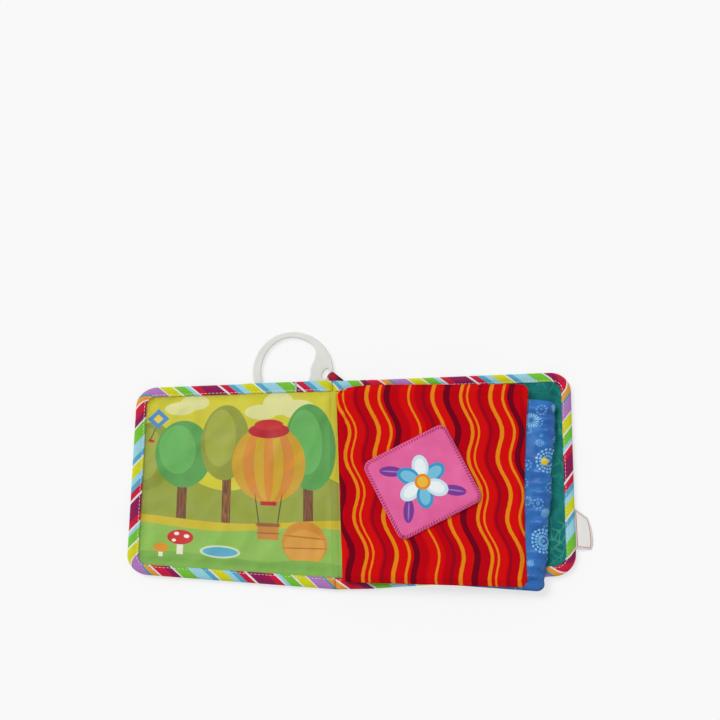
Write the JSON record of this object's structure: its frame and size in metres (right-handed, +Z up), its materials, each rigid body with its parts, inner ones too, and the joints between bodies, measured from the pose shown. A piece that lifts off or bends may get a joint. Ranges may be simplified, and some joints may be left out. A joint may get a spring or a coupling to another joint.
{
  "type": "cloth book",
  "caption": "Soft padded cloth book lying open, with turning crinkle leaves, striped bound covers, a sewn patch, a woven label and a plastic link ring on a fabric tab.",
  "frame": {"origin": "middle of the spine's underside, on the surface that the open book lies on", "axes": "+X across the open book towards the back cover, +Y up the pages towards the link ring, +Z up"},
  "size_m": [0.3801, 0.2174, 0.0162],
  "materials": {
    "outer_cloth": "matte printed polyester",
    "printed_page": "smooth printed polyester",
    "teal_lining": "matte mottled cotton",
    "striped_binding": "diagonally striped bias tape",
    "wadding": "soft polyester wadding",
    "red_plush": "short plush with wavy stripes",
    "blue_satin": "dotted satin",
    "leaf_backing": "plain woven cloth",
    "crinkle_film": "thin crackling film",
    "pink_patch": "smooth cloth patch",
    "magenta_thread": "zig-zag thread",
    "pale_plastic": "moulded, slightly soft sheen",
    "crimson_ribbon": "folded ribbon",
    "white_label": "woven tape"
  },
  "bodies": {
    "back_cover": {"back_cover_outer": "outer_cloth", "back_cover_padding": "wadding", "back_cover_lining": "teal_lining", "back_cover_binding": "striped_binding"},
    "spine": {"spine_outer": "outer_cloth", "spine_padding": "wadding", "spine_lining": "printed_page", "spine_binding_top": "striped_binding", "spine_binding_bottom": "striped_binding", "red_leaf_hem": "red_plush", "blue_leaf_hem": "blue_satin"},
    "front_cover": {"front_cover_outer": "outer_cloth", "front_cover_padding": "wadding", "front_cover_lining": "printed_page", "front_cover_binding": "striped_binding"},
    "red_gutter": {"red_leaf_gutter": "red_plush"},
    "red_leaf": {"red_leaf_back": "leaf_backing", "red_leaf_crinkle_film": "crinkle_film", "red_leaf_front": "red_plush", "applique_patch": "pink_patch", "patch_stitching": "magenta_thread"},
    "blue_gutter": {"blue_leaf_gutter": "blue_satin"},
    "blue_leaf": {"blue_leaf_back": "leaf_backing", "blue_leaf_crinkle_film": "crinkle_film", "blue_leaf_front": "blue_satin"},
    "link_tab": {"link_tab": "crimson_ribbon"},
    "link_ring": {"link_ring": "pale_plastic"},
    "woven_label": {"woven_label": "white_label"}
  },
  "joints": [
    {"name": "spine_fold", "type": "hinge", "parent": "back_cover", "child": "spine", "pos_m": [0.014, 0, 0.0046], "axis": [0, -1, 0], "range_deg": [-90, 0]},
    {"name": "front_cover_fold", "type": "hinge", "parent": "spine", "child": "front_cover", "pos_m": [-0.014, 0, 0.0046], "axis": [0, -1, 0], "range_deg": [-90, 0]},
    {"name": "red_gutter_bend", "type": "hinge", "parent": "spine", "child": "red_gutter", "pos_m": [-0.0057, 0, 0.01155], "axis": [0, -1, 0], "range_deg": [0, 90]},
    {"name": "red_leaf_turn", "type": "hinge", "parent": "red_gutter", "child": "red_leaf", "pos_m": [-0.0057, 0, 0.01155], "axis": [0, -1, 0], "range_deg": [0, 175]},
    {"name": "blue_gutter_bend", "type": "hinge", "parent": "spine", "child": "blue_gutter", "pos_m": [0.0044, 0, 0.01155], "axis": [0, -1, 0], "range_deg": [0, 90]},
    {"name": "blue_leaf_turn", "type": "hinge", "parent": "blue_gutter", "child": "blue_leaf", "pos_m": [0.0044, 0, 0.01155], "axis": [0, -1, 0], "range_deg": [0, 165]},
    {"name": "link_tab_fold", "type": "hinge", "parent": "spine", "child": "link_tab", "pos_m": [-0.0146, 0.0858, 0.00405], "axis": [1, 0, 0], "range_deg": [0, 90]},
    {"name": "link_ring_swivel", "type": "hinge", "parent": "link_tab", "child": "link_ring", "pos_m": [-0.0206, 0.0917, 0.0021], "axis": [0, 0, 1], "range_deg": [-85, 0], "deforming": ["link_tab"]},
    {"name": "woven_label_flap", "type": "hinge", "parent": "back_cover", "child": "woven_label", "pos_m": [0.18171, -0.0395, 0.0031], "axis": [0, -1, 0], "range_deg": [0, 90]}
  ],
  "couplings": [
    {"joint": "red_gutter_bend", "follows": "spine_fold", "ratio": -1},
    {"joint": "blue_gutter_bend", "follows": "spine_fold", "ratio": -1},
    {"joint": "blue_leaf_turn", "follows": "red_leaf_turn", "ratio": 0.93}
  ]
}
